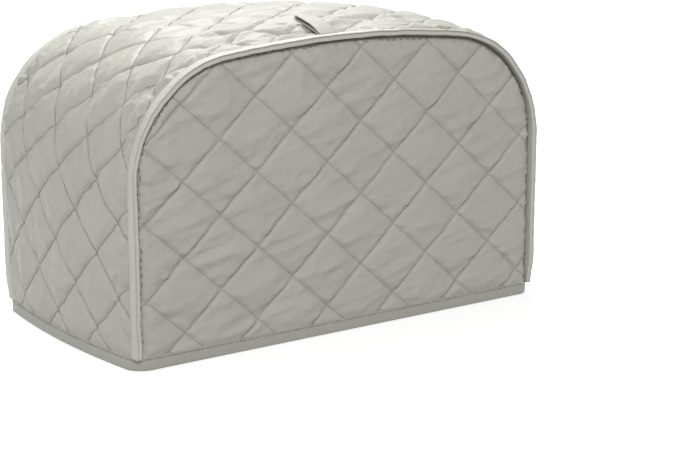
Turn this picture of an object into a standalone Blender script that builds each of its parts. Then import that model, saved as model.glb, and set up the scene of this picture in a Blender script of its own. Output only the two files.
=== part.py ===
"""Quilted fabric cover of arched box shape, open underneath.

Two arched panels and one long gusset are sewn together at bound seams that stand out
diagonally, a plain band finishes the open bottom, and a short strap loop sits on top.
Metres, +Z up, the front panel faces -Y, and the hem stands on Z = 0.
"""

import math

import bmesh
import bpy
import numpy as np
from mathutils import Vector

# Overall sizes, measured to the outer edge of the bound seams
WIDTH = 0.307
DEPTH = 0.174
SHOULDER_HEIGHT = 0.179
TOP_ARCH = 0.010
CORNER_WIDTH = 0.0655
CORNER_HEIGHT = 0.069

# Quilted cloth: wall at a stitch line, swell of a diamond on each face
CLOTH = 0.0024
PUFF_OUT = 0.0023
PUFF_IN = 0.0007
GUSSET_CROWN = 0.0070
GAP = 0.0003

# Stitched diamonds: half a diamond's size, and one crossing's place on each piece
HALF_DIAMOND_HIGH = 0.0229
PANEL_HALF_DIAMOND = 0.0258
PANEL_CROSSING = (-0.1182, 0.0185)
GUSSET_HALF_DIAMOND = 0.0240
GUSSET_CROSSING = (0.0176, 0.0420)
CELLS_PER_HALF = 3
BACK_CELLS_PER_HALF = 2

# On top the gusset is eased forward, so its diamonds narrow towards the front seam
EASE_FROM = 0.080
EASE_FULL = 0.165
EASE_NARROWING = 0.0117
EASE_GROWTH = 0.0011

# Bound seam, a flat fin that stands out forwards and leans a little outwards
FIN_HIGH = 0.0046
FIN_THICK = 0.0036
FIN_GROOVE = 0.0006
FIN_STEP = 0.0135
FIN_LEAN = math.radians(18)
FIN_TUCK = 0.0016
FIN_TUCK_LENGTH = 0.016

# Where the cloth lies behind the outer edge of the bound seams
PANEL_RECESS = 0.0024
GUSSET_RECESS = 0.0022
PANEL_INSET = 0.0056
GUSSET_INSET = 0.0051

# Plain band round the open bottom
HEM_HIGH = 0.0085
HEM_THICK = 0.0058
HEM_PROUD = 0.0010
HEM_CORNER = 0.0100
HEM_ROUND = 0.0012

# Strap loop on the top, beside the front seam
LOOP_CENTRE = -0.017
LOOP_WIDE = 0.0165
LOOP_THICK = 0.0018
LOOP_FROM = 0.0064
LOOP_TO = 0.0360
LOOP_LIFT = 0.0026
LOOP_STEPS = 9

CLOTH_COLOUR = (0.48, 0.49, 0.44, 1.0)
BAND_COLOUR = (0.40, 0.41, 0.37, 1.0)

# Slack folds that lie across the top: distance behind the front seam, height, half-width,
# and the stretch of X each one runs along
TOP_FOLDS = (
    {"back": 0.013, "rise": 0.0012, "half": 0.0040, "left": -0.085, "right": 0.020},
    {"back": 0.026, "rise": 0.0018, "half": 0.0055, "left": -0.060, "right": 0.090},
    {"back": 0.041, "rise": 0.0014, "half": 0.0060, "left": -0.095, "right": 0.040},
    {"back": 0.060, "rise": 0.0012, "half": 0.0070, "left": -0.040, "right": 0.095},
    {"back": 0.150, "rise": 0.0014, "half": 0.0060, "left": -0.070, "right": 0.070},
)


def smooth(value):
    """Goes from 0 to 1 with flat ends."""
    t = min(max(value, 0.0), 1.0)
    return t * t * (3.0 - 2.0 * t)


def outline_samples():
    """Close points on the seam's outline in X and Z, from the left hem over to the right."""
    rise = np.linspace(0.0, 1.0, 120)
    turn = np.linspace(0.0, math.pi / 2, 240)[1:]
    run = np.linspace(0.0, 1.0, 120)[1:]
    left = -WIDTH / 2
    x = np.concatenate(
        (
            np.full(rise.size, left),
            left + CORNER_WIDTH * (1 - np.cos(turn)),
            (left + CORNER_WIDTH) * (1 - run),
        )
    )
    z = np.concatenate(
        (
            (SHOULDER_HEIGHT - CORNER_HEIGHT) * rise,
            SHOULDER_HEIGHT - CORNER_HEIGHT + CORNER_HEIGHT * np.sin(turn),
            np.full(run.size, SHOULDER_HEIGHT),
        )
    )
    z = z + TOP_ARCH * (1 - (x / left) ** 2) ** 2
    x = np.concatenate((x, -x[-2::-1]))
    z = np.concatenate((z, z[-2::-1]))
    return x, z


OUTLINE_X, OUTLINE_Z = outline_samples()
OUTLINE_S = np.concatenate(
    ((0.0,), np.cumsum(np.hypot(np.diff(OUTLINE_X), np.diff(OUTLINE_Z))))
)
OUTLINE_LENGTH = float(OUTLINE_S[-1])


def on_outline(s):
    """Point on the outline and its outward direction, at s along it; straight past the ends."""
    inside = min(max(s, 0.0), OUTLINE_LENGTH)
    past = s - inside
    drop = past if s < inside else -past
    x = float(np.interp(inside, OUTLINE_S, OUTLINE_X))
    z = float(np.interp(inside, OUTLINE_S, OUTLINE_Z)) + drop
    step = 0.001
    ends = (max(inside - step, 0.0), min(inside + step, OUTLINE_LENGTH))
    dx = float(np.diff(np.interp(ends, OUTLINE_S, OUTLINE_X))[0])
    dz = float(np.diff(np.interp(ends, OUTLINE_S, OUTLINE_Z))[0])
    return Vector((x, 0.0, z)), Vector((-dz, 0.0, dx)).normalized()


def diamond_swell(u, v):
    """Height from 0 on a stitch line to 1 in a diamond's middle; u and v count half-diamonds."""
    across = math.sin(math.pi * (((u - v) / 2) % 1.0))
    along = math.sin(math.pi * (((u + v) / 2) % 1.0))
    return max(across * along, 0.0) ** 0.6


def near_edge(*distances):
    """Flattens the quilting within a few millimetres of a seam."""
    seam_flat = 0.009
    return min(smooth(distance / seam_flat) for distance in distances)


def crown(behind):
    """How far the gusset stands out between its two seams."""
    t = min(max(behind / DEPTH, 0.0), 1.0)
    return GUSSET_CROWN * math.sin(math.pi * t) ** 0.8


def gusset_behind(i, s):
    """Distance behind the front seam of column i of the gusset's diamonds, at s along it."""
    side = min(s, OUTLINE_LENGTH - s)
    ease = smooth((side - EASE_FROM) / (EASE_FULL - EASE_FROM))
    pitch = GUSSET_HALF_DIAMOND - EASE_NARROWING * ease
    return GUSSET_CROSSING[0] + pitch * i + EASE_GROWTH * ease * i * i


def slack(x, s, behind):
    """Height of the slack folds on the top."""
    on_top = smooth((min(s, OUTLINE_LENGTH - s) - EASE_FULL) / 0.03)
    total = 0.0
    for fold in TOP_FOLDS:
        along = smooth((x - fold["left"]) / 0.03) * smooth((fold["right"] - x) / 0.03)
        across = math.exp(-(((behind - fold["back"]) / fold["half"]) ** 2))
        total += fold["rise"] * along * across
    return total * on_top


def material(name, colour, roughness):
    made = bpy.data.materials.new(name)
    made.use_nodes = True
    shader = made.node_tree.nodes["Principled BSDF"]
    shader.inputs["Base Color"].default_value = colour
    shader.inputs["Roughness"].default_value = roughness
    shader.inputs["Metallic"].default_value = 0.0
    return made


def finish(name, bm, colour, roughness):
    """Makes the object of a finished bmesh, shaded smooth."""
    bmesh.ops.recalc_face_normals(bm, faces=bm.faces[:])
    mesh = bpy.data.meshes.new(name)
    bm.to_mesh(mesh)
    bm.free()
    mesh.shade_smooth()
    mesh.set_sharp_from_angle(angle=math.radians(50))
    mesh.materials.append(material(name, colour, roughness))
    made = bpy.data.objects.new(name, mesh)
    bpy.context.scene.collection.objects.link(made)
    return made


def fabric_grid(columns, rows, cells):
    """A flat grid of cells in fabric counts, split along the stitch lines.

    columns and rows give the first and last count, with this many cells to each;
    X and Y hold half-diamond counts.
    """
    wide = (columns[1] - columns[0]) * cells
    high = (rows[1] - rows[0]) * cells
    bm = bmesh.new()
    bmesh.ops.create_grid(bm, x_segments=wide, y_segments=high, size=0.5)
    low = min(vert.co.x for vert in bm.verts)
    span = max(vert.co.x for vert in bm.verts) - low
    for vert in bm.verts:
        vert.co.x = columns[0] + (vert.co.x - low) / span * (columns[1] - columns[0])
        vert.co.y = rows[0] + (vert.co.y - low) / span * (rows[1] - rows[0])
    falling = []
    rising = []
    for face in bm.faces:
        middle = face.calc_center_median()
        to_rising = abs((middle.x - middle.y + 1.0) % 2.0 - 1.0)
        to_falling = abs((middle.x + middle.y + 1.0) % 2.0 - 1.0)
        chosen = rising if to_rising < to_falling else falling
        chosen.append(face)
    split_at(bm, rising, 1)
    split_at(bm, falling, -1)
    return bm


def split_at(bm, faces, slope):
    """Cuts each cell along the diagonal that rises or falls with X."""
    for face in faces:
        corners = sorted(face.verts, key=lambda vert: vert.co.x + slope * vert.co.y)
        bmesh.ops.connect_verts(bm, verts=[corners[0], corners[-1]])


def trim(bm, point, outward):
    """Cuts away what lies beyond a plane."""
    geometry = bm.verts[:] + bm.edges[:] + bm.faces[:]
    bmesh.ops.bisect_plane(
        bm, geom=geometry, dist=1e-6, plane_co=point, plane_no=outward, clear_outer=True
    )


def thicken(bm):
    """Turns the trimmed inner sheet into a closed solid, out by each point's own amount."""
    out = bm.verts.layers.float_vector["out"]
    bmesh.ops.dissolve_degenerate(bm, dist=0.0005, edges=bm.edges[:])
    moved = bmesh.ops.extrude_face_region(bm, geom=bm.faces[:], use_keep_orig=True)["geom"]
    for item in moved:
        if isinstance(item, bmesh.types.BMVert):
            item.co += item[out]


def panel(name, facing, cells):
    """Arched end panel, quilted; facing is -1 for the front and 1 for the back."""
    columns = (-2, 12)
    rows = (-1, 8)
    bm = fabric_grid(columns, rows, cells)
    out = bm.verts.layers.float_vector.new("out")
    inner = DEPTH / 2 - PANEL_RECESS - CLOTH
    bottom = HEM_HIGH + GAP
    for vert in bm.verts:
        u = vert.co.x
        v = vert.co.y
        x = PANEL_CROSSING[0] + u * PANEL_HALF_DIAMOND
        z = PANEL_CROSSING[1] + v * HALF_DIAMOND_HIGH
        flat = near_edge(*edge_distances(x, z))
        swell = diamond_swell(u, v) * flat
        vert.co = Vector((x, facing * (inner - PUFF_IN * swell), z))
        vert[out] = Vector((0.0, facing * (CLOTH + (PUFF_OUT + PUFF_IN) * swell), 0.0))
    trim(bm, Vector((0.0, 0.0, bottom)), Vector((0.0, 0.0, -1.0)))
    for s in panel_edge_stations():
        point, outward = on_outline(s)
        trim(bm, point - outward * PANEL_INSET, outward)
    thicken(bm)
    return finish(name, bm, CLOTH_COLOUR, 0.55)


def panel_edge_stations():
    """Where the panel's edge is cut: once on each straight side, then round the arch."""
    straight = SHOULDER_HEIGHT - CORNER_HEIGHT
    arch = OUTLINE_LENGTH - 2 * straight
    cuts = 44
    return [straight + arch * step / cuts for step in range(cuts + 1)]


def edge_distances(x, z):
    """How far a point of a panel is from its seam and from its hem."""
    reach = np.hypot(OUTLINE_X - x, OUTLINE_Z - z)
    nearest = int(np.argmin(reach))
    away = float(reach[nearest]) - PANEL_INSET
    _, outward = on_outline(float(OUTLINE_S[nearest]))
    side = (x - OUTLINE_X[nearest]) * outward.x + (z - OUTLINE_Z[nearest]) * outward.z
    return (away if side < 0 else -away), z - HEM_HIGH


def gusset():
    """Long strip up one side, over the top and down the other, crowned between its seams."""
    columns = (-2, 9)
    last = math.ceil((OUTLINE_LENGTH - GUSSET_CROSSING[1]) / HALF_DIAMOND_HIGH)
    rows = (-2, last + 1)
    bm = fabric_grid(columns, rows, CELLS_PER_HALF)
    out = bm.verts.layers.float_vector.new("out")
    front = -DEPTH / 2
    for vert in bm.verts:
        u = vert.co.x
        v = vert.co.y
        s = GUSSET_CROSSING[1] + v * HALF_DIAMOND_HIGH
        behind = gusset_behind(u, s)
        point, outward = on_outline(s)
        to_hem = min(s, OUTLINE_LENGTH - s) - HEM_HIGH
        flat = near_edge(behind - GUSSET_INSET, DEPTH - GUSSET_INSET - behind, to_hem)
        swell = diamond_swell(u, v) * flat
        base = crown(behind) - GUSSET_RECESS + slack(point.x, s, behind) * flat
        inner = point + outward * (base - CLOTH - PUFF_IN * swell)
        vert.co = Vector((inner.x, front + behind, inner.z))
        vert[out] = outward * (CLOTH + (PUFF_OUT + PUFF_IN) * swell)
    trim(bm, Vector((0.0, 0.0, HEM_HIGH + GAP)), Vector((0.0, 0.0, -1.0)))
    reach = DEPTH / 2 - GUSSET_INSET
    trim(bm, Vector((0.0, -reach, 0.0)), Vector((0.0, -1.0, 0.0)))
    trim(bm, Vector((0.0, reach, 0.0)), Vector((0.0, 1.0, 0.0)))
    thicken(bm)
    return finish("gusset", bm, CLOTH_COLOUR, 0.55)


def sweep(bm, section, frames, closed):
    """Carries a section of (across, along) points through frames of (origin, axis, axis)."""
    first = bmesh.ops.create_circle(bm, cap_ends=False, segments=len(section), radius=1.0)
    ring = first["verts"]
    edges = list({edge for vert in ring for edge in vert.link_edges})
    ordered = sorted(ring, key=lambda vert: math.atan2(vert.co.y, vert.co.x))
    start = list(ordered)
    place_ring(ordered, section, frames[0])
    start_edges = edges
    for frame in frames[1:]:
        grown = bmesh.ops.extrude_edge_only(bm, edges=edges)["geom"]
        fresh = [item for item in grown if isinstance(item, bmesh.types.BMVert)]
        edges = [item for item in grown if isinstance(item, bmesh.types.BMEdge)]
        edges = [edge for edge in edges if all(vert in fresh for vert in edge.verts)]
        ordered = [match_above(vert, fresh) for vert in ordered]
        place_ring(ordered, section, frame)
    if closed:
        bmesh.ops.bridge_loops(bm, edges=edges + start_edges)
    else:
        bmesh.ops.contextual_create(bm, geom=start)
        bmesh.ops.contextual_create(bm, geom=ordered)


def match_above(vert, fresh):
    """The new point that was extruded from this one."""
    for edge in vert.link_edges:
        other = edge.other_vert(vert)
        if other in fresh:
            return other
    raise ValueError("an extruded ring lost a point")


def place_ring(ring, section, frame):
    origin, across, along = frame
    for vert, (a, b) in zip(ring, section):
        vert.co = origin + across * a + along * b


def fin_section():
    """Bound seam's section: out along the fin, then across; two lobes and a groove."""
    half = FIN_THICK / 2
    soft = FIN_THICK / 5
    root = -FIN_HIGH
    return (
        (root, -half + soft),
        (root + soft, -half),
        (-soft * 1.6, -half),
        (-soft * 0.3, -half + soft),
        (0.0, -half + soft * 1.7),
        (-FIN_GROOVE, 0.0),
        (0.0, half - soft * 1.7),
        (-soft * 0.3, half - soft),
        (-soft * 1.6, half),
        (root + soft, half),
        (root, half - soft),
    )


def binding(name, facing):
    """Bound seam that follows the arch and stands out between a panel and the gusset."""
    bottom = HEM_HIGH + GAP
    length = OUTLINE_LENGTH - 2 * bottom
    steps = round(length / FIN_STEP)
    bm = bmesh.new()
    frames = []
    for step in range(steps + 1):
        s = bottom + length * step / steps
        point, outward = on_outline(s)
        forward = Vector((0.0, facing, 0.0))
        origin = Vector((point.x, facing * DEPTH / 2, point.z)) - outward * FIN_THICK / 2
        along = outward * math.sin(FIN_LEAN) + forward * math.cos(FIN_LEAN)
        sideways = outward * math.cos(FIN_LEAN) - forward * math.sin(FIN_LEAN)
        frames.append((origin, along, sideways))
    sweep(bm, fin_section(), frames, closed=False)
    for vert in bm.verts:
        tuck_in(vert, bottom, facing)
    return finish(name, bm, BAND_COLOUR, 0.5)


def tuck_in(vert, bottom, facing):
    """Draws the fin's outer edge in where it meets the band at the bottom."""
    amount = FIN_TUCK * (1 - smooth((vert.co.z - bottom) / FIN_TUCK_LENGTH))
    reach = WIDTH / 2 + DEPTH / 2
    outer = (abs(vert.co.x) + facing * vert.co.y) - (reach - FIN_HIGH * math.sqrt(2))
    share = min(max(outer / (FIN_HIGH * math.sqrt(2)), 0.0), 1.0)
    inward = Vector((-math.copysign(1.0, vert.co.x), -facing, 0.0)).normalized()
    vert.co += inward * amount * share


def hem_path():
    """Plan of the band's outer face: points and outward directions, once round."""
    half_x = WIDTH / 2 - GUSSET_RECESS + HEM_PROUD
    half_y = DEPTH / 2 - PANEL_RECESS + HEM_PROUD
    path = []
    side_steps = 8
    end_steps = 5
    turn_steps = 4
    corners = ((1, -1, -90.0), (1, 1, 0.0), (-1, 1, 90.0), (-1, -1, 180.0))
    for number, (sign_x, sign_y, start) in enumerate(corners):
        centre = (sign_x * (half_x - HEM_CORNER), sign_y * (half_y - HEM_CORNER))
        for step in range(turn_steps + 1):
            angle = math.radians(start + 90.0 * step / turn_steps)
            outward = Vector((math.cos(angle), math.sin(angle), 0.0))
            path.append((Vector((*centre, 0.0)) + outward * HEM_CORNER, outward))
        along_side = number % 2 == 0
        steps = side_steps if along_side else end_steps
        for step in range(1, steps):
            t = step / steps
            if along_side:
                y = sign_x * (2 * t - 1) * (half_y - HEM_CORNER)
                path.append((Vector((sign_x * half_x, y, 0.0)), Vector((sign_x, 0.0, 0.0))))
            else:
                x = -sign_x * (2 * t - 1) * (half_x - HEM_CORNER)
                path.append((Vector((x, sign_y * half_y, 0.0)), Vector((0.0, sign_y, 0.0))))
    return path


def hem():
    """Plain band round the open bottom, flat underneath, bowed out with the gusset."""
    high = HEM_HIGH
    inner = -HEM_THICK
    section = (
        (inner, 0.0),
        (-HEM_ROUND, 0.0),
        (-HEM_ROUND / 4, HEM_ROUND),
        (0.0, high / 2),
        (-HEM_ROUND / 4, high - HEM_ROUND),
        (-HEM_ROUND, high),
        (inner + HEM_ROUND / 2, high),
        (inner, high - HEM_ROUND / 2),
    )
    up = Vector((0.0, 0.0, 1.0))
    frames = []
    for point, outward in hem_path():
        behind = min(max(point.y + DEPTH / 2, 0.0), DEPTH)
        bow = crown(behind) * abs(outward.x) ** 2 * math.copysign(1.0, point.x)
        frames.append((point + Vector((bow, 0.0, 0.0)), outward, up))
    bm = bmesh.new()
    sweep(bm, section, frames, closed=True)
    return finish("hem_band", bm, BAND_COLOUR, 0.5)


def strap_loop():
    """Short strap that arches from the front seam back onto the top."""
    half = LOOP_WIDE / 2
    edge = LOOP_THICK / 3
    section = (
        (-half, edge),
        (-half + edge, 0.0),
        (half - edge, 0.0),
        (half, edge),
        (half, LOOP_THICK - edge),
        (half - edge, LOOP_THICK),
        (-half + edge, LOOP_THICK),
        (-half, LOOP_THICK - edge),
    )
    points = []
    for step in range(LOOP_STEPS + 1):
        t = step / LOOP_STEPS
        behind = LOOP_FROM + (LOOP_TO - LOOP_FROM) * t
        points.append((behind, loop_underside(behind, t)))
    frames = []
    right = Vector((1.0, 0.0, 0.0))
    for step, (behind, height) in enumerate(points):
        before = points[max(step - 1, 0)]
        after = points[min(step + 1, LOOP_STEPS)]
        run = Vector((0.0, after[0] - before[0], after[1] - before[1])).normalized()
        origin = Vector((LOOP_CENTRE, behind - DEPTH / 2, height))
        frames.append((origin, right, Vector((0.0, -run.z, run.y))))
    bm = bmesh.new()
    sweep(bm, section, frames, closed=False)
    return finish("strap_loop", bm, BAND_COLOUR, 0.5)


def loop_underside(behind, t):
    """Height of the strap's underside: on the cloth at both ends, lifted between them."""
    edges = (LOOP_CENTRE - LOOP_WIDE / 2, LOOP_CENTRE + LOOP_WIDE / 2)
    top_z = max(float(np.interp(x, OUTLINE_X, OUTLINE_Z)) for x in edges)
    folds = max(slack(x, OUTLINE_LENGTH / 2, behind) for x in edges)
    swell = PUFF_OUT * near_edge(behind - GUSSET_INSET)
    cloth_top = top_z + crown(behind) - GUSSET_RECESS + folds + swell
    lift = LOOP_LIFT * math.sin(math.pi * t)
    return cloth_top + GAP + lift


def clear_scene():
    for old in list(bpy.data.objects):
        bpy.data.objects.remove(old, do_unlink=True)


def main():
    clear_scene()
    panel("front_panel", -1, CELLS_PER_HALF)
    panel("back_panel", 1, BACK_CELLS_PER_HALF)
    gusset()
    binding("front_binding", -1)
    binding("back_binding", 1)
    hem()
    strap_loop()


main()
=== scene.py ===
"""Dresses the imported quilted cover: cloth, bound seams, hem band, strap and stitching."""

import math
from collections import namedtuple

import bmesh
import bpy
import numpy as np
from bpy.props import FloatProperty, FloatVectorProperty, IntProperty, PointerProperty
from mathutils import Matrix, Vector


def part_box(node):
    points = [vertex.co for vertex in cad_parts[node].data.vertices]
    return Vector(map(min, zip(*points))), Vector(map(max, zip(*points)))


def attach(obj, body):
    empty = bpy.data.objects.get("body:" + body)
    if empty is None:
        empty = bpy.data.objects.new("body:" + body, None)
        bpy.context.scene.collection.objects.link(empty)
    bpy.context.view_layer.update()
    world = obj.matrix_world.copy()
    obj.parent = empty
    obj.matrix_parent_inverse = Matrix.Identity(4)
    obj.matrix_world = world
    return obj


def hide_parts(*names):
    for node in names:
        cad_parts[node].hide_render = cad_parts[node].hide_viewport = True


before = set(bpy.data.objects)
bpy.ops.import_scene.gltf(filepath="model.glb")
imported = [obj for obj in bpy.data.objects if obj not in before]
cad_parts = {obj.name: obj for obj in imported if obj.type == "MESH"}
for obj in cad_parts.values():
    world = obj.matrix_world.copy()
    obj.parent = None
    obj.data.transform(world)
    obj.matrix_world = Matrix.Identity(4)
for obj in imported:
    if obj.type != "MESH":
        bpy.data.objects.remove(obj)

bl_info = {
    "name": "Quilted Cover",
    "version": (1, 0, 0),
    "blender": (4, 5, 0),
    "location": "3D View > Sidebar > Cover",
    "description": "Makes the cloth, bindings, hem and stitching of a quilted cover",
    "category": "Object",
}

BODY = "root"
CLOTH_SLOT = "quilted_cloth"
TAPE_SLOT = "binding_tape"
MM = 0.001

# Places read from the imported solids
SEAM_LOW, SEAM_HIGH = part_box("front_binding")
_, BAND_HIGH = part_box("hem_band")
SEAM_INSIDE = 0.00044
SEAM_PAST = 0.00018
SEAM_SPAN = SEAM_HIGH[0] - SEAM_LOW[0] + 2 * SEAM_INSIDE
SEAM_DEPTH = -2 * (SEAM_LOW[1] + SEAM_PAST)

# The cloth's shape between the seams, as in the solids
PANEL_RECESS = 0.0024
GUSSET_RECESS = 0.0022
PANEL_CROSSING = (-0.1182, 0.0185)
GUSSET_CROSSING = (0.0176, 0.0420)
EASE_FROM = 0.080
EASE_FULL = 0.165
EASE_NARROWING = 0.0117
EASE_GROWTH = 0.0011
PANEL_TUCK = 0.0052
GUSSET_TUCK = 0.0058
HEM_TUCK = 0.0020

PHOTO_WIDTH_PX = 679
LENS_PX = 1830.0
SENSOR_MM = 36.0
CAMERA_AT = (-0.6486, -0.9851, 0.3350)
CAMERA_AIM = (-0.0080, -0.0870, 0.0640)

# Bound seams, hem band and strap
FIN_THICK = 0.0036
FIN_LEAN = math.radians(1)
FIN_TUCK = 0.0016
FIN_ROUND = 0.0006
FIN_REACH = 0.0070
FIN_STEP = 0.0016
HEM_CORNER = 0.0100
HEM_STEP = 0.0018
STRAP_CENTRE = -0.0122
STRAP_WIDE = 0.0135
STRAP_END_HIGH = 0.1945
STRAP_THICK = 0.0010
STRAP_FROM = 0.0040
STRAP_TO = 0.0310
STRAP_SINK = 0.0026
STRAP_CLOSED = 0.0004
STRAP_OPENED = 0.0013

# Slight unevenness of the bound seams and the hem band: length and amount
Wander = namedtuple("Wander", "length amount")
FIN_REACHES = (Wander(0.030, 0.0004), Wander(0.006, 0.00025))
FIN_SWAYS = (Wander(0.024, 0.0004), Wander(0.005, 0.00018))
FIN_ARCH_SWAY = 0.0003
FIN_ARCH_START = 0.10
FIN_ARCH_LONG = 0.03
FIN_END_LONG = 0.016
FIN_SET_IN = 0.0002
HEM_RIPPLE = 0.00025
HEM_CRUMPLE = 0.00016
HEM_WAVER = 0.00035

# Sewing
SEAM_END_GAP = 0.004
SEAM_WAVER = Wander(0.011, 0.0012)
SEAM_INWARD = 0.0010
SEAM_INWARD_WAVER = Wander(0.009, 0.0006)
SEAM_ON_CLOTH = 0.0003
HEM_STITCH_DOWN = 0.0013
HEM_STITCH_SUNK = 0.0002
SEAM_CLEAR = 0.001
STITCH_FILLS = 0.82
STITCH_THICK = 0.00022
HEM_STITCH_FILLS = 0.8
HEM_STITCH_THICK = 0.00026
# Thick dark stitches beside the bound seams: sewing, and painted shade of the gap next to the binding.
SEAM_STITCH = 0.0050
SEAM_STITCH_FILLS = 0.62
SEAM_STITCH_THICK = 0.00042

# Walls of the quilted cloth, at the stitches and what the filling adds
WALL = 0.0016
FILLING = 0.0024
GROOVE_DEEP = 0.0011
RISING_GROOVE = 0.0015
FALLING_GROOVE = 0.0013
STITCH_FADE = 0.003

# Where the quilting goes flat: beside a bound seam, and over the hem band
Fade = namedtuple("Fade", "seam hem")
GUSSET_FADE = Fade(0.007, 0.008)
PANEL_FADE = Fade(0.008, 0.007)

# Streaks in the cloth: height, direction in radians, length and width of one
Streaks = namedtuple("Streaks", "rise angle long short")
TOP_WAVES = Streaks(0.0018, 0.05, 0.070, 0.0072)
TOP_RIPPLES = Streaks(0.0007, -0.06, 0.045, 0.0044)
SIDE_STREAKS = Streaks(0.0006, 1.35, 0.022, 0.0050)
SIDE_RIDGES = Streaks(0.0010, 1.10, 0.020, 0.0068)
PANEL_STREAKS = Streaks(0.0009, 0.34, 0.026, 0.0058)
PANEL_RIDGES = Streaks(0.0010, 0.30, 0.024, 0.0072)

# Lumps in the cloth: height, and size in the cloth's two directions
Lumps = namedtuple("Lumps", "rise first second")
GUSSET_LUMPS = Lumps(0.0005, 0.021, 0.013)
GUSSET_DIMPLES = Lumps(0.00034, 0.0065, 0.0050)
PANEL_LUMPS = Lumps(0.0005, 0.024, 0.012)
PANEL_DIMPLES = Lumps(0.00038, 0.0075, 0.0048)
PANEL_PUCKERS = Lumps(0.0014, 0.0042, 0.0042)

# Where the cloth changes: start and length of the change, in metres
Ramp = namedtuple("Ramp", "start length")
TOP_START = Ramp(EASE_FULL, 0.03)
UPPER_START = Ramp(0.080, 0.050)
SIDE_END = Ramp(0.130, 0.04)
WAVES_START = Ramp(0.125, 0.035)
ARCH_START = Ramp(0.112, 0.020)
ARCH_END = Ramp(0.215, 0.030)
FRONT_END = Ramp(0.030, 0.040)

# Short wrinkles beside the stitch lines
GUSSET_PULL = 0.0007
PANEL_PULL = 0.0011

# Puckers where the gusset is eased into its seams
GATHER_REACH = 0.0060
GATHER_RISE = 0.0026
GATHER_ARCH = 0.0018
GATHER_TOP = 0.0012
GATHER_DIP = 0.0007
EDGE_START = 0.0016
PUCKER_REACH = 0.0050
PANEL_DROP = 0.0030
PANEL_DROP_WIDE = 0.0011

# Surfaces of the cloth and the tape
Bump = namedtuple("Bump", "strength distance")
CLOTH_WEAVE = Bump(0.25, 0.0001)
CLOTH_RUMPLE = Bump(0.70, 0.0008)
TAPE_WEAVE = Bump(0.35, 0.00015)
CLOUD_SCALE = 22.0
RUMPLE_SCALE = 330.0
THREAD_SCALE = 900.0
# Painted shade along the stitched grooves: width of the line mask, how much of it is used, and how dark it
# is.
LINE_WIDE = 0.035
GROOVE_SHADE_SHARE = 0.42
GROOVE_PAINTED_SHADE = 0.55
WALL_SHARE = 0.003
CLOTH_SHADES = (0.93, 1.07)
TAPE_SHADES = (0.92, 1.08)
THREAD_SHADES = (0.85, 1.15)
CLOTH_SHINE = 0.28
CLOTH_SHEEN = 0.08
CLOTH_SHEEN_ROUGHNESS = 0.4
TAPE_SHINE = 0.35
THREAD_ROUGHNESS = 0.6

# Stage
WORLD_STRENGTH = 0.50
FLOOR_SIZE = 12.0
FLOOR_TONE = 0.92
FLOOR_GLOW = 0.40
Lamp = namedtuple("Lamp", "name place aim size watts")
LAMPS = (
    Lamp("overhead", (0.45, 0.70, 1.35), (0.0, 0.0, 0.15), 0.45, 24.0),
    Lamp("left_back", (-1.40, 0.90, 0.50), (0.0, 0.0, 0.10), 0.4, 4.2),
    Lamp("left_front", (-0.92, -1.46, 1.20), (0.0, 0.0, 0.10), 0.4, 16.2),
)

Fold = namedtuple("Fold", "x0 b0 x1 b1 rise half bend")

# Slack folds across the top, in millimetres: where each starts and ends along X and behind
# the front seam, its height, half-width and bend
TOP_FOLDS = (
    Fold(-112, 16, -30, 11, 1.3, 3.2, 2),
    Fold(-104, 30, -18, 22, 1.6, 3.8, 3),
    Fold(-100, 44, 5, 36, 1.5, 4.4, -2),
    Fold(-84, 60, 20, 52, 1.4, 4.6, 3),
    Fold(-70, 78, 40, 70, 1.3, 5.0, -3),
    Fold(-60, 9, 4, 17, 1.2, 3.0, -2),
    Fold(-44, 20, 22, 28, 1.5, 3.4, 2),
    Fold(-20, 33, 60, 41, 1.3, 4.0, 2),
    Fold(2, 12, 84, 14, 1.4, 3.2, 3),
    Fold(14, 24, 104, 22, 1.5, 3.8, -3),
    Fold(30, 48, 112, 36, 1.3, 4.4, 2),
    Fold(-10, 62, 90, 56, 1.2, 4.8, 3),
    Fold(-90, 96, 10, 92, 1.0, 5.4, 3),
    Fold(0, 84, 104, 78, 1.1, 5.2, -3),
    Fold(-20, 112, 96, 104, 1.0, 5.6, 4),
    Fold(-100, 124, -6, 118, 1.0, 5.4, -3),
    Fold(-70, 150, 50, 147, 1.3, 4.4, 3),
    Fold(-30, 163, 100, 160, 1.2, 3.6, -2),
)

# Creases of the front panel, in millimetres along X and up
PANEL_CREASES = (
    Fold(-143, 116, -118, 124, 0.9, 2.2, 1),
    Fold(-140, 106, -110, 114, 0.7, 2.4, -1),
    Fold(-128, 92, -92, 108, 0.9, 2.6, 2),
    Fold(-124, 82, -88, 92, 1.0, 2.4, 1),
    Fold(-110, 74, -82, 80, 0.8, 2.2, -1),
    Fold(-104, 146, -84, 150, 0.7, 2.4, 1),
    Fold(-100, 62, -74, 62, 0.8, 2.4, 1),
    Fold(-96, 50, -66, 54, 0.7, 2.6, -1),
    Fold(-144, 58, -122, 54, 0.7, 2.0, 1),
    Fold(-142, 30, -120, 24, 0.7, 2.2, 1),
    Fold(-70, 116, -38, 126, 0.7, 2.8, 2),
    Fold(-50, 84, -12, 96, 0.8, 2.6, 2),
    Fold(-30, 44, 4, 50, 0.7, 2.6, -2),
    Fold(10, 110, 46, 118, 0.8, 2.8, 2),
    Fold(34, 66, 70, 60, 0.8, 2.6, -2),
    Fold(62, 132, 98, 126, 0.7, 2.6, 2),
    Fold(84, 92, 122, 84, 0.9, 2.6, 2),
    Fold(104, 52, 140, 44, 0.8, 2.4, 1),
    Fold(-20, 172, 44, 170, 0.8, 2.4, 2),
    Fold(40, 162, 88, 160, 0.7, 2.4, -1),
)

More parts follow.
